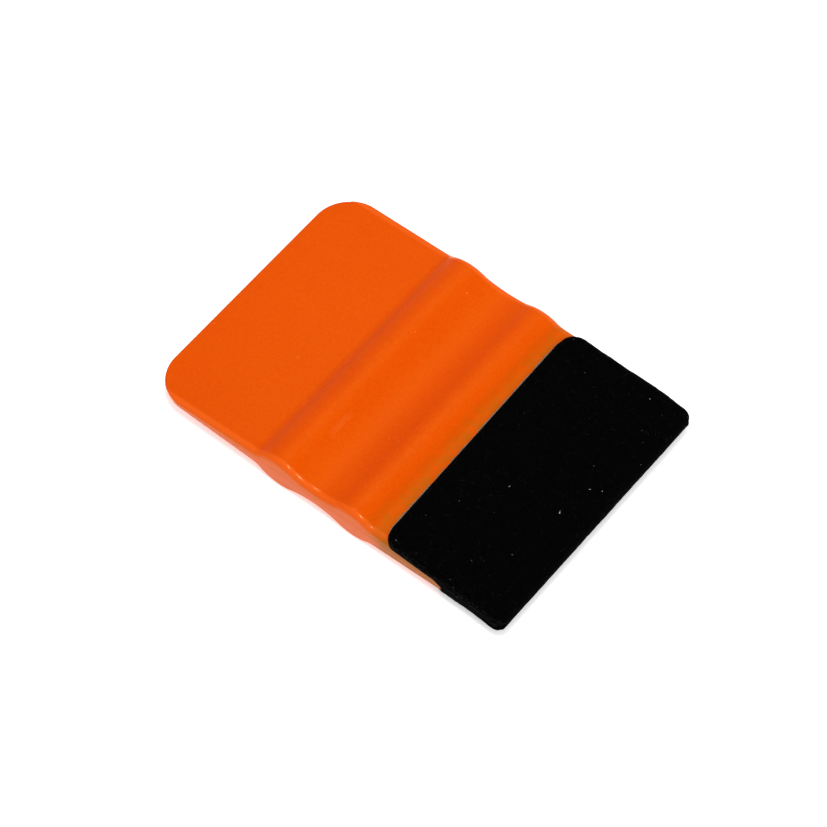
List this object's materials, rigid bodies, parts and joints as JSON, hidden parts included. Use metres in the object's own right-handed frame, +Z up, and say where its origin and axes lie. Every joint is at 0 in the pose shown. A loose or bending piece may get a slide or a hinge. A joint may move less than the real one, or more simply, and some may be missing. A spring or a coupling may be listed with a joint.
{
  "type": "squeegee applicator",
  "caption": "Hand squeegee card with a ridged finger grip, a bare thin blade at one end and a black felt sleeve folded over the other.",
  "frame": {"origin": "middle of the overall length and width, on the surface that the two grip ridges stand on", "axes": "+X across the card, +Y along the card towards the bare blade, with the felt at -Y, +Z up through the card's thickness"},
  "size_m": [0.07, 0.1016, 0.0092],
  "materials": {
    "card_plastic": "satin moulded orange plastic, saturated, fine flow marks",
    "felt": "dense black needled felt, matt, with short loose fibres at its cut edges",
    "adhesive": "clear pressure-sensitive adhesive film, slightly milky"
  },
  "bodies": {
    "root": {"squeegee_body": "card_plastic", "adhesive_film": "adhesive", "felt_sleeve": "felt"}
  },
  "joints": []
}
